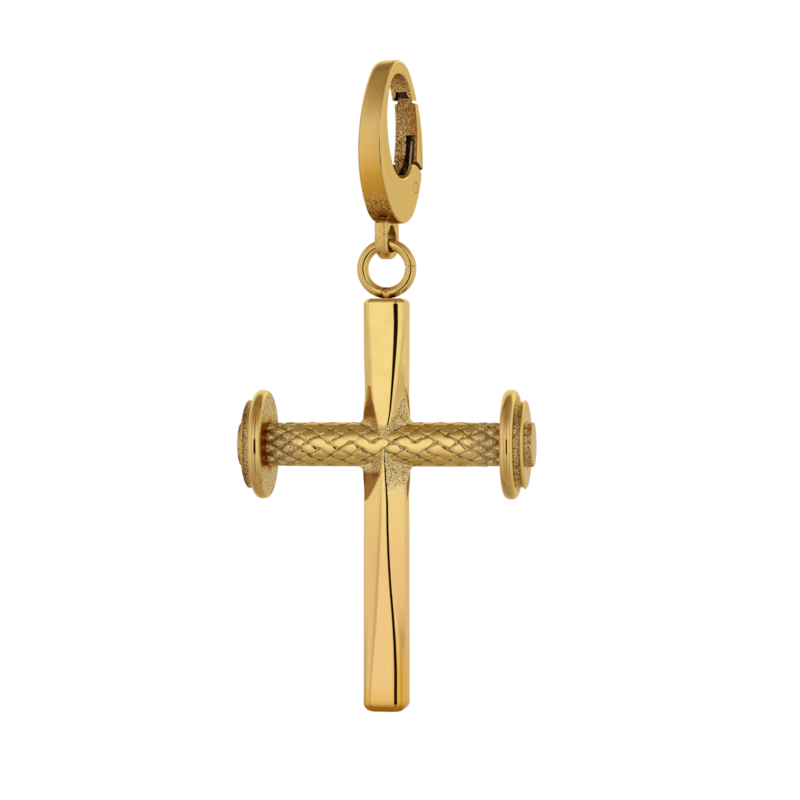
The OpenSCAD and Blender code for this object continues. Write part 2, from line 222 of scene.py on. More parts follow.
def build_world():
    world = bpy.data.worlds.new("tent")
    bpy.context.scene.world = world
    world.use_nodes = True
    tree = world.node_tree
    tree.nodes.clear()
    node, maths, times, span, mixed = node_tools(tree)
    coords = node("ShaderNodeTexCoord").outputs["Generated"]
    part, limited = partial(direction_part, tree, coords), partial(band, tree)
    front = part(math.sin(TENT_TURN), -math.cos(TENT_TURN), 0)
    side = part(math.cos(TENT_TURN), math.sin(TENT_TURN), 0)
    up = part(0, 0, 1)
    ceiling = span(up, 0.25, 1.0, 1.0, 0.42)
    table = span(up, -0.95, -0.05, 0.6, 1.0)
    azimuth = maths("ARCTAN2", part(1, 0, 0), part(0, -1, 0))
    ring = node("ShaderNodeValToRGB", span(azimuth, -math.pi, math.pi, smooth=False))
    stops = ring.color_ramp.elements
    while len(stops) < len(TENT):
        stops.new(0.5)
    for stop, (degrees, brightness, warm) in zip(stops, TENT):
        stop.position = (degrees + 180) / 360
        stop.color = (brightness, brightness * (1 - 0.2 * warm), brightness * (1 - 0.5 * warm), 1.0)
    facing = span(front, 0.0, 0.1)
    opening = times(times(limited(side, *GAP_SIDE), limited(up, *GAP_UP)), facing)
    aside = maths("SUBTRACT", azimuth, TENT_TURN)
    seam = times(limited(aside, *SEAM_SIDE), limited(up, *SEAM_UP))
    dark = maths("MAXIMUM", opening, times(seam, SEAM_DARK))
    open_light = span(dark, 0.0, 1.0, 1.0, 0.01, smooth=False)
    behind = span(front, -0.25, -0.55, 0.0, 0.55)
    wall = times(limited(up, *WALL_UP), behind)
    level = maths("ADD", times(times(ceiling, table), open_light), wall)
    warmth = mixed(span(level, 0.25, 0.95), WARM_LIGHT, COOL_LIGHT)
    colour = mixed(1.0, warmth, ring.outputs["Color"], "MULTIPLY")
    light = node("ShaderNodeBackground", Color=colour, Strength=level)
    paper = node("ShaderNodeBackground", Color=(1.0, 1.0, 1.0), Strength=1.0)
    seen = node("ShaderNodeLightPath").outputs["Is Camera Ray"]
    mix = node("ShaderNodeMixShader", seen, light.outputs[0], paper.outputs[0])
    node("ShaderNodeOutputWorld", Surface=mix.outputs[0])


build_world()
bpy.context.scene.view_settings.view_transform = "Standard"


# Gold. Attributes say where it is sandy and where it is darkened; both are zero where a mesh has none.
GOLD = (0.93, 0.70, 0.27)
DEEP_GOLD = (0.80, 0.50, 0.135)
BROWN = (0.48, 0.203, 0.034)
SPECK = (0.12, 0.065, 0.02)
GLINT = (1.0, 0.82, 0.46)
PEACH = (0.86, 0.56, 0.24)
AMBER = (0.78, 0.42, 0.03)
DARK = (0.03, 0.015, 0.007)
FOOT_BROWN = (0.13, 0.04, 0.012)
BROWN_EDGE = (0.72, 0.38, 0.11)


def attribute(tree, name):
    node = tree.nodes.new("ShaderNodeAttribute")
    node.attribute_name = name
    return node.outputs["Fac"]


def gold_material(name, colour=GOLD, roughness=0.07, sandy=0.0, brown=0.0, foot=None, peach=None,
                  flecks=0.25, worn=0.0, amber=None, pale=None, dotted=0.92, edge=(1.0, 0.86, 0.5)):
    """Metal with cloudy colour, fine wear, sandy and brown places, and glints of light painted on its sandy
    grain.

    sandy and brown are a number for the whole surface, or the name of a mesh attribute. foot, peach and
    amber are pairs of heights in metres between which, downwards, patina sets in, the gold turns redder
    and the gold turns deeper. flecks is the share of grain left where it is brown, worn how brown its
    cloudy places are, pale the colour of its sandy places, dotted how dark the dots are there, and edge
    the tint that it takes on at a glancing angle.
    """
    material = bpy.data.materials.new(name)
    material.use_nodes = True
    tree = material.node_tree
    tree.nodes.clear()
    node, maths, times, span, mixed = node_tools(tree)
    coords = node("ShaderNodeTexCoord").outputs["Object"]
    larger = partial(maths, "MAXIMUM")

    def noise(scale, detail, rough=0.5):
        texture = node("ShaderNodeTexNoise", Vector=coords, Scale=scale, Detail=detail, Roughness=rough)
        return texture.outputs["Fac"]

    def factor(value):
        return attribute(tree, value) if isinstance(value, str) else value

    specks = noise(5200.0, 1.5, 0.6)
    sand_factor = factor(sandy)
    brown_factor = factor(brown)
    height = node("ShaderNodeSeparateXYZ", coords).outputs[2]
    if foot:
        lower = span(height, *foot, smooth=False)
        uneven = span(noise(2600.0, 4.0), 0.3, 0.7, -0.3, 0.3)
        uneven = times(uneven, span(lower, 0.0, 0.12))
        ragged = maths("ADD", lower, uneven)
        sand_factor = larger(span(ragged, 0.1, 0.5), sand_factor)
        brown_factor = larger(span(ragged, 0.35, 0.85), brown_factor)
        deep = span(ragged, 0.75, 1.15, 0.0, 0.4)
    if worn:
        brown_factor = larger(span(noise(1300.0, 5.0, 0.65), 0.50, 0.66, 0.0, worn), brown_factor)
    clouds = span(noise(450.0, 3.0), 0.35, 0.7, 0.0, 0.3)
    base = mixed(clouds, colour, DEEP_GOLD)
    if peach:
        base = mixed(span(height, *peach, 0.0, 0.75), base, PEACH)
    deeper = attribute(tree, "amber")
    if amber:
        deeper = larger(span(height, *amber, 0.0, 0.85), deeper)
    base = mixed(deeper, base, AMBER)
    base = mixed(brown_factor, base, BROWN)
    plain = maths("SUBTRACT", 1.0, times(brown_factor, 1 - flecks))
    grainy = times(sand_factor, plain)
    if pale:
        base = mixed(times(grainy, 0.8), base, pale)
    # Painted highlights: bright glints mixed into the base colour where it is sandy
    glints = times(span(specks, 0.53, 0.62, 0.0, 0.75), grainy)
    base = mixed(glints, base, GLINT)
    dots = times(span(specks, 0.38, 0.47, dotted, 0.0), grainy)
    base = mixed(dots, base, SPECK)
    base = mixed(attribute(tree, "dark"), base, DARK)
    if foot:
        base = mixed(deep, base, FOOT_BROWN)
    wear = span(noise(2200.0, 4.0), 0.3, 0.75, roughness * 0.8, roughness * 1.35)
    rough = maths("ADD", larger(wear, times(sand_factor, 0.24)), times(brown_factor, 0.12))
    bump = node("ShaderNodeBump", Distance=0.00015, Strength=times(grainy, 0.9), Height=specks)
    ripple = node(
        "ShaderNodeBump", Distance=0.00004, Strength=0.12, Height=noise(380.0, 1.0), Normal=bump.outputs[0],
    )
    colours = {"Base Color": base, "Specular Tint": mixed(brown_factor, edge, BROWN_EDGE)}
    shader = node(
        "ShaderNodeBsdfPrincipled", Metallic=1.0, Roughness=rough, Normal=ripple.outputs[0], **colours,
    )
    node("ShaderNodeOutputMaterial", Surface=shader.outputs[0])
    return material


CLASP_COLOUR = (0.80, 0.575, 0.215)
POLISHED = gold_material(
    "polished_gold", sandy="sand", brown="brown", peach=(-0.0430, -0.0540), pale=(0.92, 0.78, 0.43),
    dotted=0.72,
)
HEAD_GOLD = gold_material(
    "head_gold", colour=(0.84, 0.60, 0.23), roughness=0.1, sandy="sand", brown="brown",
    pale=(0.72, 0.54, 0.28),
)
CLASP_GOLD = gold_material("clasp_gold", colour=CLASP_COLOUR, roughness=0.12)
FOOT_GOLD = gold_material(
    "clasp_foot_gold", colour=CLASP_COLOUR, roughness=0.12, foot=(-0.0126, -0.0159), flecks=0.7,
    amber=(-0.0065, -0.0122),
)
SANDY = gold_material("sandy_gold", colour=(0.84, 0.56, 0.20), roughness=0.2, sandy=1.0, brown=0.12)
SANDY_DEEP = gold_material(
    "sandy_gold_deep", colour=(0.38, 0.22, 0.08), roughness=0.22, sandy=1.0, brown="brown", worn=0.6,
)
BAIL_GOLD = gold_material("bail_gold", colour=(0.84, 0.60, 0.22), roughness=0.12, sandy=0.2, worn=0.5)
BAIL_HOLE = gold_material(
    "bail_hole_gold", colour=(0.20, 0.11, 0.035), roughness=0.3, sandy=0.4, brown=0.2,
    edge=(0.6, 0.4, 0.18),
)
RING_GOLD = gold_material("ring_gold", colour=CLASP_COLOUR, roughness=0.1)
# Near-black for the faces inside the slot, the mortise, the pocket and the joint gaps: painted shade
GAP_SHADE = gold_material(
    "painted_gap_shade", colour=(0.035, 0.02, 0.01), roughness=0.5, sandy=0.3, edge=(0.2, 0.13, 0.06),
)
STEEL = gold_material("spring_steel", colour=(0.34, 0.33, 0.32), roughness=0.3)


# Mesh helpers
def capped_faces(rows, columns, flip=False):
    """Quads between closed rings of vertices, and a face on each end; flip turns the end faces over."""
    r, c = np.meshgrid(np.arange(rows - 1), np.arange(columns), indexing="ij")
    r, c = r.ravel(), c.ravel()
    nxt = (c + 1) % columns
    corners = (r * columns + c, r * columns + nxt, (r + 1) * columns + nxt, (r + 1) * columns + c)
    first = list(range(columns))
    last = [(rows - 1) * columns + k for k in first]
    ends = [first, last[::-1]] if flip else [first[::-1], last]
    return np.stack(corners, 1).tolist() + ends


def mesh_from(name, verts, faces, material_index=0):
    mesh = bpy.data.meshes.new(name)
    mesh.from_pydata([tuple(v) for v in verts], [], faces)
    mesh.validate()
    for polygon in mesh.polygons:
        polygon.material_index = material_index
    return mesh


def new_object(name, mesh, materials):
    obj = bpy.data.objects.new(name, mesh)
    for material in materials:
        mesh.materials.append(material)
    bpy.context.scene.collection.objects.link(obj)
    return obj


def face_outwards(mesh, *parts, weld=False):
    """Points every face outwards, after adding other meshes' faces or welding near vertices."""
    bm = bmesh.new()
    for part in parts or (mesh,):
        bm.from_mesh(part)
    if weld:
        bmesh.ops.remove_doubles(bm, verts=bm.verts, dist=0.0004)
        bmesh.ops.dissolve_degenerate(bm, edges=bm.edges, dist=0.0002)
    bmesh.ops.recalc_face_normals(bm, faces=bm.faces)
    bm.to_mesh(mesh)
    bm.free()


def outward(mesh):
    face_outwards(mesh, weld=True)


def set_attributes(mesh, **shares):
    for name, values in shares.items():
        layer = mesh.attributes.new(name, "FLOAT", "POINT")
        layer.data.foreach_set("value", np.ravel(np.asarray(values, np.float32)))


def set_finish(mesh, finish):
    """Attributes from each vertex's sandy, brown and dark shares, with or without a deeper gold's."""
    set_attributes(mesh, **dict(zip(("sand", "brown", "dark", "amber"), np.transpose(finish))))


def dress(obj, body, node, sharp=35.0, weighted=False):
    """Scales a piece to metres, smooths it, and lets it stand for a CAD node."""
    obj.data.transform(Matrix.Scale(MM, 4))
    obj.data.shade_smooth()
    obj.data.set_sharp_from_angle(angle=math.radians(sharp))
    if weighted:
        modifier = obj.modifiers.new("even_normals", "WEIGHTED_NORMAL")
        modifier.keep_sharp = True
        modifier.weight = 60
    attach(obj, body)
    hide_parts(node)
    return obj


def ramp(value, low, high):
    """Smooth 0 to 1 between two values, which may run either way."""
    share = min(1.0, max(0.0, (value - low) / (high - low)))
    return share * share * (3 - 2 * share)


# Outlines in the clasp's plane
def full_turn(count):
    return np.linspace(0, 2 * math.pi, count, endpoint=False)


def arc(centre, radius, start, end, count):
    angles = np.linspace(start, end, count)
    return np.stack([centre[0] + radius * np.cos(angles), centre[1] + radius * np.sin(angles)], 1)


def circle(centre, radius, count):
    return arc(centre, radius, 0, 2 * math.pi, count + 1)[:-1]


def resample(points, count):
    """Evenly spaced points along a closed outline."""
    loop = np.vstack([points, points[:1]])
    steps = np.hypot(*np.diff(loop, axis=0).T)
    length = np.concatenate([[0], np.cumsum(steps)])
    at = np.linspace(0, length[-1], count, endpoint=False)
    return np.stack([np.interp(at, length, loop[:, k]) for k in (0, 1)], 1)


def egg(shift, top, half_w, total, widest, end_rs, count, inset=0.0):
    """Closed egg from two half eggs that meet on their widest line, at that share of its height."""
    heights = (total * widest, total * (1 - widest))
    angles = full_turn(4000)
    across, up = np.abs(np.cos(angles)), np.abs(np.sin(angles))
    points = np.zeros((len(angles), 2))
    for sign, height, end_r in zip((1, -1), heights, end_rs):
        w, h, r = half_w - inset, height - inset, end_r - inset
        rise = h - r
        side_r = (rise ** 2 + w ** 2 - r ** 2) / (2 * (w - r))
        turn = math.atan2(rise, side_r - w)
        here = (np.sin(angles) >= 0) if sign > 0 else (np.sin(angles) < 0)
        side = np.arctan2(up, across) < turn
        x = np.where(side, w - side_r + side_r * across, r * across)
        y = np.where(side, side_r * up, rise + r * up)
        points[here, 0] = (np.sign(np.cos(angles)) * x)[here]
        points[here, 1] = (sign * y)[here]
    return resample(points + (shift, top - heights[0]), count)


def clasp_egg(count=360, inset=0.0):
    return egg(CLASP_SHIFT, CLASP_TOP, CLASP_HALF_W, CLASP_H, CLASP_WIDEST, CLASP_END_R, count, inset)


def face_n(y):
    return FACE_TOP + (FACE_BOTTOM - FACE_TOP) * (CLASP_TOP - y) / CLASP_H


def offset(points, distance):
    """Moves a closed anticlockwise outline inwards, mitred at its corners."""
    before = points - np.roll(points, 1, axis=0)
    after = np.roll(points, -1, axis=0) - points
    normals = []
    for edge in (before, after):
        edge = edge / np.maximum(np.hypot(*edge.T), 1e-9)[:, None]
        normals.append(np.stack([-edge[:, 1], edge[:, 0]], 1))
    middle = normals[0] + normals[1]
    middle /= np.maximum(np.hypot(*middle.T), 1e-9)[:, None]
    mitre = np.maximum((middle * normals[0]).sum(1), 0.6)
    return points + middle * (distance / mitre)[:, None]


def anticlockwise(points):
    x, y = points.T
    area = (x * np.roll(y, -1) - np.roll(x, -1) * y).sum()
    return points if area > 0 else points[::-1]


def in_clasp(vector):
    """A vector's parts across the clasp, upwards and along its normal."""
    vector = np.array(vector)
    return vector @ U_AXIS, vector[2], vector @ N_AXIS


def from_pin(points):
    """Distances of clasp-plane points from the rivet's axis."""
    return np.hypot(*(np.asarray(points) - PIN).T)


def to_model(points, n):
    """Clasp-plane points at a distance along its normal, in the model's frame."""
    return points[:, :1] * U_AXIS + points[:, 1:] * Z_AXIS + np.reshape(n, (-1, 1)) * N_AXIS


def prism(name, outline, low="face", high="face", rim=0.0, flare=0.0, material_index=0, steps=4, far=1.0):
    """Solid between two distances along the clasp's normal.

    low and high are numbers, or "face" for the clasp's own leaning faces. rim rounds its edges, and flare
    widens a cutting tool so that the hole's edges are rounded. far is how much deeper than wide the
    rounding is on the low side.
    """
    outline = anticlockwise(np.asarray(outline, float))

    def level(points, side):
        limit = high if side > 0 else low
        return side * face_n(points[:, 1]) if limit == "face" else np.full(len(points), float(limit))

    rings = []
    for side in (-1, 1):
        turns = np.linspace(0, math.pi / 2, steps + 1) if rim or flare else [math.pi / 2]
        part = []
        for turn in turns:
            inset = (rim - flare) * (1 - math.cos(turn))
            points = offset(outline, inset) if inset else outline
            deep = (rim + flare) * (far if side < 0 else 1.0)
            height = level(points, side) - side * deep * (1 - math.sin(turn))
            part.append(to_model(points, height))
        if flare:
            points = offset(outline, -flare)
            part.append(to_model(points, level(points, side) + side))
        rings += part[::-1] if side < 0 else part
    return mesh_from(name, np.vstack(rings), capped_faces(len(rings), len(outline)), material_index)


def combine(obj, mesh, operation="DIFFERENCE"):
    """Cuts a mesh from an object, or joins it on, keeping the mesh's own material numbers."""
    tool = new_object("tool", mesh, list(obj.data.materials))
    outward(mesh)
    modifier = obj.modifiers.new("combine", "BOOLEAN")
    modifier.operation = operation
    modifier.solver = "EXACT"
    modifier.material_mode = "INDEX"
    modifier.object = tool
    graph = bpy.context.evaluated_depsgraph_get()
    result = bpy.data.meshes.new_from_object(obj.evaluated_get(graph))
    obj.modifiers.clear()
    old = obj.data
    obj.data = result
    bpy.data.meshes.remove(old)
    bpy.data.objects.remove(tool)
    bpy.data.meshes.remove(mesh)


# Rows are a height and the half width there
MORTISE_LEVELS = (
    (HOOK_Y - 1, MORTISE_MOUTH), (HOOK_Y, MORTISE_MOUTH), (HOOK_Y + MORTISE_FLARE, MORTISE_HALF_W),
    (MORTISE_TOP, MORTISE_HALF_W),
)
TENON_LEVELS = ((GATE_TOP_Y - 0.5, TENON_FOOT), (GATE_TOP_Y, TENON_FOOT), (TENON_TOP, TENON_HALF_W))


def gate_side(outline, low=-np.inf, high=np.inf, beyond=3.0):
    """The outline's points on the gate's side and between two heights, from the lowest up."""
    x, y = outline.T
    points = outline[(x > beyond) & (y > low) & (y < high)]
    return points[np.argsort(points[:, 1])]


def across_prism(levels, wall, inner, material_index):
    """Tool with a half width for each height, from inner(height) to a wall off the clasp's outline."""
    outer = gate_side(clasp_egg(1200, wall), beyond=CLASP_SHIFT)
    level_y, level_half = np.transpose(levels)
    heights = np.unique(np.concatenate([np.linspace(level_y[0], level_y[-1], 9), level_y]))
    rings = []
    for y in heights:
        half = np.interp(y, level_y, level_half)
        far = np.interp(y, outer[:, 1], outer[:, 0])
        near = inner(y)
        for u, n in ((near, -half), (far, -half), (far, half), (near, half)):
            rings.append(u * U_AXIS + y * Z_AXIS + n * N_AXIS)
    return mesh_from("tool", rings, capped_faces(len(heights), 4), material_index)


def relief_wall(y):
    """Across place of the gate's hollow inner side."""
    return RELIEF[0] + np.sqrt(RELIEF_R ** 2 - (y - RELIEF[1]) ** 2)


def box_outline(x0, y0, x1, y1):
    return np.array([[x0, y0], [x1, y0], [x1, y1], [x0, y1]], float)


# Material numbers of the clasp's and the gate's castings; HIDDEN faces, inside the slot, the mortise, the
# pocket and the joint gaps, take the near-black that paints their shade
PLAIN, INSIDE, HIDDEN, FOOT, BAIL, HOLE = range(6)


# Clasp body
def cut(obj, outline, low="face", high="face", material_index=PLAIN, **rounding):
    combine(obj, prism("tool", outline, low, high, material_index=material_index, **rounding))


def bail_outline():
    foot, shoulder, shoulder_y, root_x = BAIL_BOTTOM + BAIL_HALF_W, 0.8, CLASP_BOTTOM - 0.3, 1.05
    shoulder_x, root_y = BAIL_HALF_W - shoulder, CLASP_BOTTOM + 1.4
    return np.vstack([
        arc((0, foot), BAIL_HALF_W, math.pi, 2 * math.pi, 40),
        arc((shoulder_x, shoulder_y), shoulder, 0, math.pi / 2, 9),
        [[root_x, root_y], [-root_x, root_y]],
        arc((-shoulder_x, shoulder_y), shoulder, math.pi / 2, math.pi, 9),
    ])


def bail_hole():
    corner = 0.7
    corner_x, corner_y = BAIL_HOLE_HALF - corner, BAIL_SEAT + corner
    return np.vstack([
        arc((-corner_x, corner_y), corner, math.pi, 1.5 * math.pi, 12),
        arc((corner_x, corner_y), corner, 1.5 * math.pi, 2 * math.pi, 12),
        [[BAIL_HOLE_HALF, BAIL_ARCH]],
        arc((0, CLASP_BOTTOM - 1.05), 0.8, math.radians(25), math.radians(155), 12),
        [[-BAIL_HOLE_HALF, BAIL_ARCH]],
    ])


def build_clasp_body():
    materials = [CLASP_GOLD, SANDY, GAP_SHADE, FOOT_GOLD, BAIL_GOLD, BAIL_HOLE]
    ring = prism("clasp_casting", clasp_egg(), rim=0.36, steps=6, far=2.3)
    obj = new_object("clasp_casting", ring, materials)
    cut(obj, egg(top=APEX, count=300, **OPENING), flare=0.3, steps=5, material_index=INSIDE)
    cheek_end = math.acos((PIN[0] - WINDOW_X) / CHEEK_R)
    window = np.vstack([
        [[REACH, PIN[1] + 4.0], [WINDOW_LEFT, PIN[1] + 4.0], [WINDOW_LEFT, PIN[1] + 3.0]],
        arc(PIN, CHEEK_R, math.pi - cheek_end, 0.0, 60),
        [[REACH, PIN[1]]],
    ])
    cut(obj, window, flare=0.34, steps=5)
    cut(obj, box_outline(WINDOW_LEFT, NECK[0][1], REACH, HOOK_Y), -REACH, REACH)
    # The slot: what the gate's heel sweeps, the collar's round, and outwards up to the hook; its inner
    # faces take the near-black of painted shade
    heel = HEEL_R + SLOT_CLEARANCE
    for outline in (
        np.vstack([[PIN], arc(PIN, heel, math.pi / 2, math.pi + SWING, 24)]),
        circle(PIN, COLLAR_R + SLOT_CLEARANCE, 47),
        box_outline(PIN[0] - heel, PIN[1], REACH, HOOK_Y),
    ):
        cut(obj, outline, -SLOT_HALF_W, SLOT_HALF_W, HIDDEN)
    combine(obj, across_prism(MORTISE_LEVELS, MORTISE_WALL, lambda y: WINDOW_LEFT, HIDDEN))
    cut(obj, circle(PIN, PIN_R + 0.03, 39), -REACH, REACH)
    bail = prism("bail", bail_outline(), -BAIL_HALF_T, BAIL_HALF_T, rim=0.3, steps=5)
    bail = new_object("bail", bail, materials)
    cut(bail, bail_hole(), -BAIL_HALF_T, BAIL_HALF_T, HOLE, flare=0.16, steps=5)
    mesh = bail.data.copy()
    bpy.data.objects.remove(bail)
    combine(obj, mesh, "UNION")
    outward(obj.data)
    paint_clasp_body(obj.data)
    dress(obj, "clasp", "clasp_body", weighted=True)


def paint_clasp_body(mesh):
    """Gives the band's foot, the slot's shoulder, the cheeks and the bail their own materials; the slot's
    shoulder takes the near-black of painted shade.
    """
    for polygon in mesh.polygons:
        number = polygon.material_index
        u, y, n = in_clasp(polygon.center)
        facing = abs(in_clasp(polygon.normal)[2])
        below = y < CLASP_BOTTOM - 0.02
        if number == PLAIN and not below and y < FOOT_TOP and facing < 0.6:
            number = FOOT
        if abs(from_pin((u, y)) - CHEEK_R) < 0.04 and y > PIN[1] + 1 and facing < 0.6:
            number = HIDDEN
        cheek = y < PIN[1] + CHEEK_R and n > SLOT_HALF_W
        if number == INSIDE and (facing > 0.45 or cheek):
            number = PLAIN
        if below and (number == PLAIN or facing > 0.45):
            number = BAIL
        polygon.material_index = number


# Gate
def gate_outline(outer):
    """The arm above the cheeks."""
    clear = CHEEK_R + JOINT_GAP
    edge = gate_side(outer, PIN[1] + 1.0, GATE_TOP_Y)
    inner_y = np.linspace(GATE_TOP_Y, PIN[1] + 1.3, 60)
    inner = np.stack([relief_wall(inner_y), inner_y], 1)
    edge, inner = (points[from_pin(points) > clear] for points in (edge, inner))
    start, end = (math.atan2(point[1] - PIN[1], point[0] - PIN[0]) for point in (inner[-1], edge[0]))
    return np.vstack([edge, [[edge[-1, 0], GATE_TOP_Y]], inner, arc(PIN, clear, start, end, 40)[1:-1]])


def tongue_outline(outer):
    """Collar round the rivet, heel, and neck up to the arm, just inside the clasp's own outline."""
    edge = gate_side(outer, PIN[1] - 2, NECK[0][1]) - [0.03, 0]
    edge = edge[(edge[:, 1] > PIN[1]) | (from_pin(edge) < COLLAR_R)]
    low_turn = math.atan2(edge[0, 1] - PIN[1], edge[0, 0] - PIN[0])
    return np.vstack([
        edge,
        NECK,
        arc(PIN, HEEL_R, math.radians(136.9), math.pi, 12),
        [[PIN[0] - COLLAR_R, PIN[1]]],
        arc(PIN, COLLAR_R, math.pi, 2 * math.pi + low_turn, 24)[1:-1],
    ])


def build_gate():
    outer = clasp_egg(1200)
    arm = prism("gate_casting", gate_outline(outer), rim=0.18)
    obj = new_object("gate_casting", arm, [CLASP_GOLD, SANDY_DEEP, GAP_SHADE])
    tongue = prism("tool", tongue_outline(outer), *TONGUE_N, rim=0.04, material_index=INSIDE)
    combine(obj, tongue, "UNION")
    combine(obj, across_prism(TENON_LEVELS, TENON_WALL, lambda y: relief_wall(y) + 0.02, INSIDE), "UNION")
    cut(obj, box_outline(WINDOW_X, PIN[1], POCKET_X, POCKET_TOP), *POCKET_N, HIDDEN)
    cut(obj, circle(PIN, PIN_R + 0.05, 39), -REACH, REACH, HIDDEN)
    outward(obj.data)
    for polygon in obj.data.polygons:
        u, y, n = in_clasp(polygon.center)
        across, _, facing = in_clasp(polygon.normal)
        wall = math.hypot(u - RELIEF[0], y - RELIEF[1])
        if abs(wall - RELIEF_R) < 0.16 and across < -0.5 and abs(n) < face_n(y) - 0.1:
            polygon.material_index = INSIDE
        # The clearance arc by the cheeks and the tongue's face in the pocket take the near-black of painted
        # shade
        if abs(from_pin((u, y)) - CHEEK_R - JOINT_GAP) < 0.02 and y > PIN[1] + 1:
            polygon.material_index = HIDDEN
        if facing > 0.5 and abs(n - TONGUE_N[1]) < 0.05 and y < POCKET_TOP + 0.05:
            polygon.material_index = HIDDEN
    depth = np.array([in_clasp(vertex.co)[2] for vertex in obj.data.vertices])
    set_attributes(obj.data, brown=np.clip(0.15 + 0.55 * (depth + 0.3), 0.1, 0.85))
    dress(obj, "gate", "gate", weighted=True)


def build_pin():
    """Rivet flush with both cheeks, its rim just broken."""
    rim, count = 0.06, 48
    half = face_n(PIN[1])
    rings = []
    for radius, n in ((PIN_R - rim, -half), (PIN_R, rim - half), (PIN_R, half - rim), (PIN_R - rim, half)):
        points = circle(PIN, radius, count)
        lean = (face_n(points[:, 1]) - half) * math.copysign(1, n)
        rings.append(to_model(points, n + lean))
    mesh = mesh_from("rivet", np.vstack(rings), capped_faces(len(rings), count))
    outward(mesh)
    off = np.array([from_pin(in_clasp(vertex.co)[:2]) for vertex in mesh.vertices])
    set_attributes(mesh, dark=np.where(off > PIN_R - rim / 2, 0.8, 0.0))
    dress(new_object("rivet", mesh, [CLASP_GOLD]), "clasp", "gate_pin", weighted=True)


def tube(path, radius, sides=10):
    """Round tube with flat ends along a list of points."""
    ahead = np.roll(path, -1, axis=0) - np.roll(path, 1, axis=0)
    ahead[0], ahead[-1] = path[1] - path[0], path[-1] - path[-2]
    ahead /= np.linalg.norm(ahead, axis=1)[:, None]
    side = np.cross(ahead[0], [0.31, 0.17, 0.93])
    verts = []
    for point, way in zip(path, ahead):
        side = side - way * (side @ way)
        side /= np.linalg.norm(side)
        up = np.cross(way, side)
        verts += [point + radius * (math.cos(a) * side + math.sin(a) * up) for a in full_turn(sides)]
    return np.array(verts), capped_faces(len(path), sides)


def build_spring():
    """Torsion spring: a coil round the rivet and one arm up the gate's pocket."""
    wire, coil_r, turns, start = 0.12, 0.8, 3, math.radians(-60)
    steps = turns * 24
    points = arc(PIN, coil_r, start, start + turns * 2 * math.pi, steps)
    verts, faces = tube(to_model(points, np.linspace(0.30, 0.80, steps)), wire)
    arm = to_model(np.add(PIN, [(0.2, 0.8), (1.1, 5.1)]), 0.62)
    arm_verts, arm_faces = tube(np.linspace(arm[0], arm[1], 12), wire)
    faces += [[i + len(verts) for i in face] for face in arm_faces]
    mesh = mesh_from("spring_wire", np.vstack([verts, arm_verts]), faces)
    dress(new_object("spring_wire", mesh, [STEEL]), "gate", "gate_spring", sharp=50)


# Jump ring with its lug: the lug's half sizes, and its middle's drop below the wire's
LUG = (0.39, 0.86, 0.56)
LUG_DROP = 0.16
RING_LOW = RING_Z - RING_R


def ring_mesh():
    rounding = 0.05
    turns = np.linspace(SPLIT_TURN, SPLIT_TURN + 2 * math.pi, 162)
    radii = [WIRE_R - rounding] + [WIRE_R] * len(turns) + [WIRE_R - rounding]
    turns = np.concatenate([[turns[0]], turns, [turns[-1]]])
    turns[1] += rounding / RING_R
    turns[-2] -= rounding / RING_R
    around = full_turn(28)
    verts = []
    for number, (turn, radius) in enumerate(zip(turns, radii)):
        side = 1 if number < 2 else (-1 if number >= len(turns) - 2 else 0)
        for a in around:
            # The split is a hair wide outside and opens towards the inside
            at = turn + side * (0.008 + 0.06 * ((1 - math.cos(a)) / 2) ** 3) / RING_R
            out = np.array([math.cos(at), 0, math.sin(at)])
            verts.append(out * (RING_R + radius * math.cos(a)) + [0, radius * math.sin(a), RING_Z])
    return mesh_from("ring_wire", verts, capped_faces(len(turns), len(around)))


def lug_mesh():
    """Rounded lump, flat where it meets the bar's top."""
    rows, count = 15, 28
    verts = []
    for climb in np.linspace(-1, 1, rows):
        belt = math.sqrt(1 - climb ** 2) + 0.001
        for a in full_turn(count):
            z = max(RING_LOW - LUG_DROP + LUG[2] * climb, BAR_TOP + 0.02)
            verts.append([LUG[0] * belt * math.cos(a), LUG[1] * belt * math.sin(a), z])
    return mesh_from("lug", verts, capped_faces(rows, count))


def build_ring():
    obj = new_object("ring_wire", ring_mesh(), [RING_GOLD])
    outward(obj.data)
    combine(obj, lug_mesh(), "UNION")
    outward(obj.data)
    # Painted shadow: the wire is darkened beside the lug, just over the bar's top, and in a thin ring round
    # the lug, darker on its left side
    dark = []
    for vertex in obj.data.vertices:
        x, _, z = vertex.co
        shadow_beside_lug = ramp(abs(x), 0.36, 0.42) * ramp(abs(x), 1.5, 0.8) * ramp(z, RING_LOW + 0.1, RING_LOW - 0.3)
        from_lug = math.hypot(x / LUG[0], (z - RING_LOW + LUG_DROP) / LUG[2])
        outline = ramp(from_lug, 1.0, 1.1) * ramp(from_lug, 1.55, 1.3) * (1.0 if x < 0.1 else 0.4)
        dark.append(max(0.9 * shadow_beside_lug, outline))
    set_attributes(obj.data, dark=dark)
    dress(obj, "cross", "jump_ring", sharp=50)


# Cross: upright. Rows are the distance from the crossing and the front flat's half width there.
FLAT_UP = (
    (0, 0.0), (0.9, 0.1), (1.5, 0.42), (2.75, 0.76), (4.2, 1.07), (6, 1.3), (10, 1.42), (12.2, 1.58),
    (15.1, 1.79),
)
FLAT_DOWN = (
    (0, 0.0), (1.3, 0.14), (6, 0.40), (8.8, 0.56), (12.6, 0.77), (16.6, 1.05), (20.7, 1.40), (24.8, 1.68),
    (29, 1.88),
)
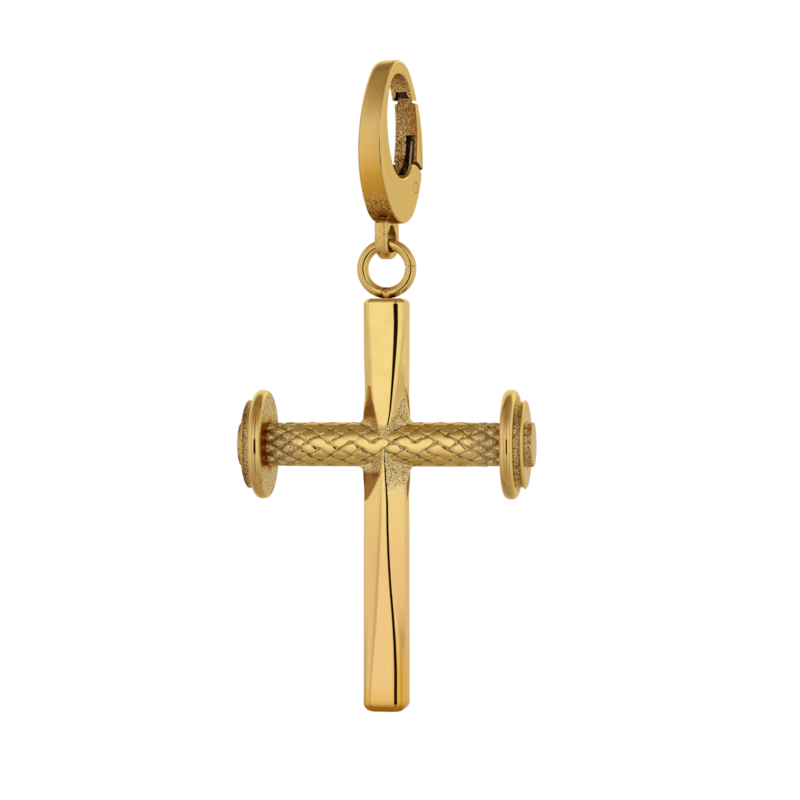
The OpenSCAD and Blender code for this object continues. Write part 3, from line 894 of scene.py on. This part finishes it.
# Rows are the distance, where the front flat ends at the right, the radius that its ridge is worn to there,
# and the most that the facet beyond it turns aside, in degrees
WORN_UP = (
    (0, 0.0, 0.2, 45), (2, 0.3, 0.5, 42), (3.2, 0.56, 0.8, 38), (4.9, 0.68, 0.95, 37),
    (7.6, 0.86, 1.25, 39), (10.3, 0.98, 1.65, 46), (13, 1.06, 1.95, 60), (15.1, 0.98, 2.1, 60),
)
WORN_DOWN = (
    (0, 0.0, 0.3, 60), (2.5, 0.05, 0.7, 60), (6, 0.22, 1.05, 60), (9, 0.25, 1.1, 60),
    (12.2, 0.36, 1.15, 60), (15.3, 0.55, 1.15, 60), (18.4, 0.82, 1.2, 60), (21.5, 1.02, 1.3, 60),
    (24.5, 1.12, 1.35, 60), (28, 1.12, 1.35, 60),
)
# Rows are the distance above the crossing and the radius of the left facet's outer ridge
LEFT_RIDGE = ((0, 0.3), (3.4, 0.3), (4.5, 1.0), (5.6, 1.9), (6.6, 1.9), (8, 1.0), (10, 0.4), (16, 0.3))
# Rows are the distance and the side flats' half width there
SIDE_UP = ((0, 0.5), (2.4, 0.6), (5.6, 1.38), (9, 1.5), (15, 1.65))
SIDE_DOWN = ((0, 0.5), (2.4, 0.75), (5, 1.35), (9, 1.55), (28, 1.65))
SMALL_RIDGE = 0.3
# Most of the face before and of the face after that a ridge's rounding takes, as shares, by ridge
ROUNDING_SHARES = {4: (0.45, 0.62), 5: (0.5, 0.48), 6: (0.45, 0.96), 7: (0.04, 0.4)}
OTHER_SHARES = (0.36, 0.36)
TOP_ROUND = 0.62
BOTTOM_ROUND = 1.0
ARC_STEPS = 7
FLAT_STEPS = (5, 9)


def smooth_interp(table, at, column=1):
    """Interpolates a column of a small table with its corners eased."""
    table = np.array(table, float)
    nearby = np.abs(at + np.linspace(-0.8, 0.8, 9))
    return float(np.mean(np.interp(nearby, table[:, 0], table[:, column])))


def upright_section(rise, inset):
    """Closed section with eight rounded ridges, and each point's place: which face, and how far along it.

    Face k has its normal near k * 45 degrees from +X, so 0 and 4 are the sides, 6 the front and 2 the back.
    """
    above, far, half = rise >= 0, abs(rise), HALF_BAR
    fronts, sides, wear = (FLAT_UP, SIDE_UP, WORN_UP) if above else (FLAT_DOWN, SIDE_DOWN, WORN_DOWN)
    front, side = smooth_interp(fronts, far), smooth_interp(sides, far)
    flat_end, worn, most = (smooth_interp(wear, far, column) for column in (1, 2, 3))
    widest = math.asin(min(1.0, (half - flat_end) / worn))
    bend = min(math.atan2(half - side, half - front), 0.93 * widest, math.radians(most))
    right = flat_end + worn * math.tan(bend / 2)
    right_side = half - (half - right) * math.tan(bend)
    # Ridge k lies between face k and face k + 1
    corners = np.array([
        (half, side), (front, half), (-front, half), (-half, side),
        (-half, -side), (-front, -half), (right, -half), (half, -right_side),
    ])
    radii = [SMALL_RIDGE] * 8
    radii[6] = worn
    if above:
        radii[4] = smooth_interp(LEFT_RIDGE, rise)
    radii[5] += 1.7 * ramp(rise, -3.0, -9.0)
    ridges = []
    for k in range(8):
        back, ahead = corners[k - 1] - corners[k], corners[(k + 1) % 8] - corners[k]
        lengths = np.hypot(*back), np.hypot(*ahead)
        back, ahead = back / lengths[0], ahead / lengths[1]
        turning = math.pi - math.acos(float(np.clip(back @ ahead, -1, 1)))
        shares = ROUNDING_SHARES.get(k, OTHER_SHARES)
        tangent = min(radii[k] * math.tan(turning / 2), shares[0] * lengths[0], shares[1] * lengths[1])
        radius = tangent / math.tan(turning / 2)
        middle = back + ahead
        middle /= np.hypot(*middle)
        centre = corners[k] + middle * radius / math.cos(turning / 2)
        start = corners[k] + back * tangent - centre
        angle = math.atan2(start[1], start[0])
        angles = angle + np.linspace(0, turning, ARC_STEPS + 1)
        ridges.append(centre + radius * np.stack([np.cos(angles), np.sin(angles)], 1))
    points, places = [], []
    for k, ridge in enumerate(ridges):
        face, half_way = (k + 1) % 8, len(ridge) // 2
        shares = np.linspace(0, 1, FLAT_STEPS[face % 2] + 2)[1:-1]
        points += [*ridge, *(ridge[-1] * (1 - share) + ridges[face][0] * share for share in shares)]
        places += [(k, 1.0)] * half_way + [(face, 0.0)] * half_way + [(face, share) for share in shares]
    return np.array(points) * (1 - inset / half), places


FILLET = 0.75


def fillet(x, y, rise):
    """Width added at the upright's sides, where it runs into the rod."""
    flare = 0.2 * ramp(abs(rise), 5.5, 2.6)
    drop = abs(rise) - math.sqrt(max(0.0, ROD_R ** 2 - y ** 2))
    if drop < FILLET:
        drop = max(0.0, drop)
        flare += min(0.4, FILLET - math.sqrt(FILLET ** 2 - (FILLET - drop) ** 2))
    return math.copysign(flare, x) * ramp(abs(x), 1.2, 2.3)


def end_inset(distance, radius):
    """How far a rounded end has drawn in at a distance from its tip."""
    if distance >= radius:
        return 0.0
    return radius - math.sqrt(max(0.0, radius ** 2 - (radius - distance) ** 2))


def upright_heights():
    """Heights of the sections, close together at the rounded ends and near the crossing."""
    near = 7
    top = BAR_TOP - TOP_ROUND * (1 - np.cos(np.linspace(0.0, math.pi / 2, 9)))
    bottom = BAR_BOTTOM + BOTTOM_ROUND * (1 - np.cos(np.linspace(0.0, math.pi / 2, 11)))
    upper = np.linspace(top[-1], CROSSING + near, 30)[1:]
    middle = np.linspace(CROSSING + near, CROSSING - near, 120)[1:]
    lower = np.linspace(CROSSING - near, bottom[-1], 60)[1:]
    return np.concatenate([top, upper, middle, lower, bottom[::-1][1:]])


def finish_mask(face, along, rise):
    """Sandy and brown shares of a point on the upright: rough cast grain left in the corners by the rod,
    with brown that paints the heads' reflection in the left front facet and shade in a strip on the sides.
    """
    far = abs(rise)
    # The left facet in front: pointed dark pockets, sandy grain with brown that paints the reflection of
    # the heads
    if face in (1, 5):
        if rise > 0:
            limit = 3.7 + 6.0 * along if along < 0.4 else 6.1 - 3.6 * max(0.0, along - 0.55)
        else:
            limit = 6.1 - 3.0 * along ** 1.6
        inside = ramp(limit - far, -0.12, 0.12)
        near_rod = ramp(far, 3.2, 2.7)
        grain, brown_and_painted_light = (0.6, 0.8) if rise > 0 else (0.25, 1.0)
        return max(grain * inside, 0.8 * ramp(far, 3.4, 2.9)), brown_and_painted_light * inside * (1.0 - 0.6 * near_rod)
    # The right facet in front: sandy, ragged towards its end
    if face in (3, 7):
        outer = 1 - along
        limit = 6.2 - 3.4 * outer if rise > 0 else 4.6
        soft = 0.5 if rise > 0 else 1.6
        return ramp(limit - far, -soft, soft), 0.12 * ramp(far, 3.0, 2.6)
    # The sides: a dark strip that slants round from the pockets, painted shade
    if face in (0, 4):
        front = along if face == 0 else 1 - along
        if rise > 0:
            low = 0.6 * (max(0.0, 6.2 - far) / 2.55) ** 1.5
            high = 0.15 + 0.6 * (6.2 - far)
        else:
            low = max(0.75 - 0.62 * (far - 3.0), 0.25 * (far - 4.2))
            high = 1.1 - max(0.0, far - 4.4) * 0.36
        strip = ramp(front - low, -0.08, 0.08) * ramp(high - front, -0.08, 0.08) * ramp(far, 6.3, 6.1)
        return max(strip, ramp(far, 3.6, 3.1)), 0.95 * strip * ramp(far, 2.6, 3.4)
    sand = 0.6 * ramp(far, 2.4, 1.6) if rise > 0 else 0.3 * ramp(far, 2.6, 2.0)
    return sand, 0.0


def upright_mesh():
    verts, finish = [], []
    heights = upright_heights()
    for z in heights:
        rise = z - CROSSING
        inset = end_inset(BAR_TOP - z, TOP_ROUND) + end_inset(z - BAR_BOTTOM, BOTTOM_ROUND)
        points, places = upright_section(rise, inset)
        end = ramp(rise, -27.6, -28.7)
        foot = max(0.5 * ramp(rise, -25.5, -28.2), end)
        right_foot = 0.8 * ramp(rise, -18.5, -26.0)
        for (x, y), (face, along) in zip(points, places):
            grain, brown_and_painted_light = finish_mask(face, along, rise)
            verts.append([x + fillet(x, y, rise), y, z])
            deeper = max(right_foot * ramp(x, 0.8, 1.4), foot)
            # Brown, and below the crossing also dark, paints the heads' reflection in the pockets and shade
            # on the sides
            finish.append((grain, max(brown_and_painted_light, 0.5 * end), 0.3 * brown_and_painted_light * ramp(rise, -2.9, -3.3), deeper))
    mesh = mesh_from("upright", verts, capped_faces(len(heights), len(points), flip=True))
    set_finish(mesh, finish)
    return mesh


# Cross: scaled rod. A cell is (column, row), whose sum is even; worn edges are pairs of cells.
WORN_EDGES = (
    ((2, 0), (3, -1)), ((3, -1), (4, 0)), ((5, 1), (6, 0)), ((5, -1), (6, -2)), ((-6, 0), (-5, -1)),
    ((-4, 0), (-3, 1)), ((-3, 1), (-2, 0)), ((-2, 0), (-1, -1)), ((-1, -1), (0, 0)),
)
ROD_COLUMNS = 300
ROD_ROWS = 216
LATTICE_ROWS = 40
GROOVE_W = 0.058
END_GROOVE_W = 0.15
PIT_R = 0.15
END_FROM, END_FULL = 8.4, 11.1
# Relief in millimetres
CROWN = 0.03
GROOVE_D = 0.10
END_GROOVE_D = 0.09
PIT_D = 0.045
DOME_D = 0.014
END_SINK = 0.02
CAST_GRAIN = 0.014


def hashed(a, b):
    """Repeatable noise from whole numbers, from 0 to 1."""
    value = np.sin(a * 12.9898 + b * 78.233 + SEED) * 43758.5453
    return value - np.floor(value)


def share_between(values, low, high):
    return np.clip((values - low) / (high - low), 0, 1)


def scale_depth(x, turn):
    """Shares of groove, pit where grooves meet, fall from a scale's middle, and nearness to an end."""
    a = x / HALF_PITCH
    b = (turn - FIRST_ROW) / ROW_TURN
    # The lattice wanders a little, as on a cast that was modelled by hand
    a = a + 0.07 * np.sin(1.9 * b + 0.8 * a + 0.4) + 0.05 * np.sin(2.7 * a - b)
    b = b + 0.07 * np.sin(1.3 * a + 2.1) + 0.05 * np.sin(2.3 * a + 1.7 * b)
    p, q = (a + b) / 2, (a - b) / 2
    p0, q0 = np.round(p), np.round(q)
    dp, dq = p - p0, q - q0
    per_mm = 0.5 * math.hypot(1 / HALF_PITCH, 1 / (ROW_TURN * ROD_R))
    # Lozenges with rounded corners: the wall comes in where both shares are large
    bulge = 0.55 * (2 * np.abs(dp * dq)) ** 1.5
    across_p = np.maximum(0.5 - np.abs(dp) - bulge, 0)
    across_q = np.maximum(0.5 - np.abs(dq) - bulge, 0)
    end = share_between(np.abs(x), END_FROM, END_FULL)
    width = GROOVE_W + END_GROOVE_W * end
    depth = np.zeros_like(a)
    for across, step_p, step_q in ((across_p, np.sign(dp), 0), (across_q, 0, np.sign(dq))):
        mid_p, mid_q = p0 + step_p / 2, q0 + step_q / 2
        rows = np.mod(np.round((mid_p - mid_q) * 2), LATTICE_ROWS)
        strength = 0.42 + 0.5 * hashed(np.round((mid_p + mid_q) * 2), rows)
        for first, second in WORN_EDGES:
            mid_a, mid_b = (first[0] + second[0]) / 2, (first[1] + second[1]) / 2
            here = (np.abs(mid_p + mid_q - mid_a) < 0.2) & (np.abs(mid_p - mid_q - mid_b) < 0.2)
            strength = np.where(here, 0.02, strength)
        strength = np.maximum(strength, end)
        depth = np.maximum(depth, strength * np.exp(-(across / per_mm / width) ** 2))
    pit = np.exp(-((0.5 - np.abs(dp)) ** 2 + (0.5 - np.abs(dq)) ** 2) / (per_mm * PIT_R) ** 2)
    dome = 4 * (dp ** 2 + dq ** 2)
    return depth, pit, dome, end


def rod_mesh():
    x = np.linspace(-ROD_HALF, ROD_HALF, ROD_COLUMNS)
    turn = np.linspace(-math.pi, math.pi, ROD_ROWS, endpoint=False)
    grid_x, grid_turn = np.meshgrid(x, turn, indexing="ij")
    depth, pit, dome, end = scale_depth(grid_x, grid_turn)
    rng = np.random.default_rng(SEED)
    grain = rng.normal(size=grid_x.shape) * CAST_GRAIN * end
    grooves = (GROOVE_D + END_GROOVE_D * end) * depth + PIT_D * pit
    level = ROD_R + CROWN - grooves - DOME_D * dome * (1 + 3.5 * end) - END_SINK * end + grain
    verts = np.stack([grid_x, -level * np.cos(grid_turn), CROSSING + level * np.sin(grid_turn)], -1)
    mesh = mesh_from("rod", verts.reshape(-1, 3), capped_faces(ROD_COLUMNS, ROD_ROWS, flip=True))
    off = np.abs(grid_x)
    close = share_between(off, 11.6, 12.8)
    over = share_between(-off, -2.5, -2.1) * share_between(np.abs(np.sin(grid_turn)), 0.55, 0.75)
    set_attributes(
        mesh,
        sand=np.clip(0.75 * end ** 1.5 + 0.4 * depth + pit + over, 0, 1),
        brown=np.clip((0.85 - 0.4 * end) * depth ** 1.5 + 0.02 * end + 0.45 * close, 0, 1),
        dark=np.clip(0.6 * pit ** 2 + 0.4 * depth ** 3, 0, 0.8) * (1 - 0.5 * end),
        amber=np.zeros(off.shape),
    )
    return mesh


def build_cross():
    mesh, parts = bpy.data.meshes.new("cross_casting"), (upright_mesh(), rod_mesh())
    face_outwards(mesh, *parts)
    for part in parts:
        bpy.data.meshes.remove(part)
    dress(new_object("cross_casting", mesh, [POLISHED]), "cross", "cross_body", sharp=60)


# Heads, turned about the rod's axis. The rim is rounded by an inner and an outer quarter ellipse, given as
# distance outwards and depth. Rows are a radius, the distance outwards and the sandiness there.
RIM_R = 5.97
RIM_ROUNDS = ((0.75, 0.48), (0.70, 0.66))
INNER_RADII = (0.0, 1.4, 2.2, 2.6, 3.0, 3.5, 4.0, 4.5, 5.0, 5.3)
INNER_FACE = [(radius, 0, 1) for radius in INNER_RADII] + [(5.45, 0, 0.9)]
OUTER_STACK = [
    (5.28, 1.45, 0.3), (5.1, 1.43, 0.8), (4.76, 1.41, 1), (4.66, 1.49, 1), (4.64, 1.75, 1),
    (4.65, 2.05, 1), (4.74, 2.1, 0.4), (4.82, 2.15, 0), (4.83, 2.23, 0), (4.8, 2.3, 0),
    (4.56, 2.43, 0), (4.46, 2.45, 0), (3.6, 2.45, 0), (2.75, 2.45, 0.1), (2.54, 2.43, 0.9),
    (2.44, 2.49, 1), (2.42, 2.75, 1), (2.42, 3.07, 1), (2.4, 3.13, 0.3), (2.34, 3.19, 0),
    (2.2, 3.21, 0), (1.2, 3.21, 0), (0, 3.21, 0),
]


def head_profile():
    rim = []
    for angle in np.linspace(-math.pi / 2, math.pi / 2, 26):
        (middle, _), (along, deep) = RIM_ROUNDS[0], RIM_ROUNDS[0 if angle < 0 else 1]
        radius = RIM_R - deep + deep * math.cos(angle)
        rim.append((radius, middle + along * math.sin(angle), 0.6 * ramp(angle, -1.1, -1.4)))
    return INNER_FACE + rim + OUTER_STACK


def head_finish(radius, out, sandy, up, dull_side):
    """Sandy, brown and dark shares at a point of a head, with painted shade round the rod's root and a
    painted reflection of the rod on the inner face; the left one's outer side is duller.
    """
    shade = 0.0
    # Painted on the inner face: shade round the rod's root, and the rod's reflection in a band as high as
    # the rod, out to the rim
    if out < 0.01 and radius < 5.5:
        shade = max(ramp(radius, 3.3, 2.5), ramp(abs(up), 2.75, 2.25) * ramp(radius, 5.6, 4.8))
    # The left head's outer side is made sandier and browner, and darker at its top and bottom
    dull = dull_side and out > 2.05
    brown = 0.95 * shade
    if sandy > 0.5 and out > 1.0:
        brown = max(brown, 0.32 if radius < 3 else 0.1)
    if dull:
        brown = max(brown, 0.35)
    if out > 2.3:
        brown = max(brown, 0.14)
    dark = max(0.3 * shade, 0.3 if dull and abs(up) > 0.55 * radius else 0.0)
    return max(sandy, 0.8 if dull else 0.0) * (1 - 0.6 * shade), brown, dark


def build_head(name, node, side):
    points = head_profile()
    around = full_turn(160)
    verts, finish = [], []
    for radius, out, sandy in points:
        radius = max(radius, 0.004)
        for a in around:
            up = radius * math.sin(a)
            verts.append([side * (HEAD_X + out), -radius * math.cos(a), CROSSING + up])
            finish.append(head_finish(radius, out, sandy, up, side < 0))
    mesh = mesh_from(name, verts, capped_faces(len(points), len(around), flip=True))
    set_finish(mesh, finish)
    face_outwards(mesh)
    dress(new_object(name, mesh, [HEAD_GOLD]), "cross", node, sharp=60)


build_clasp_body()
build_gate()
build_pin()
build_spring()
build_ring()
build_cross()
build_head("left_head_turned", "left_head", -1)
build_head("right_head_turned", "right_head", 1)


# Floor well below the hanging pendant
def build_floor():
    half, level = 1.0, -0.25
    verts = [(x, y, level) for x, y in box_outline(-half, -half, half, half)]
    mesh = mesh_from("floor", verts, [(0, 1, 2, 3)])
    material = bpy.data.materials.new("pale_paper")
    material.use_nodes = True
    tree = material.node_tree
    for socket, value in (
        ("Base Color", (0.85, 0.85, 0.85)), ("Emission Color", (0.9, 0.95, 1.0)),
        ("Emission Strength", 0.35), ("Roughness", 0.9),
    ):
        feed(tree, tree.nodes["Principled BSDF"].inputs[socket], value)
    floor = new_object("floor", mesh, [material])
    floor.visible_glossy = False


build_floor()
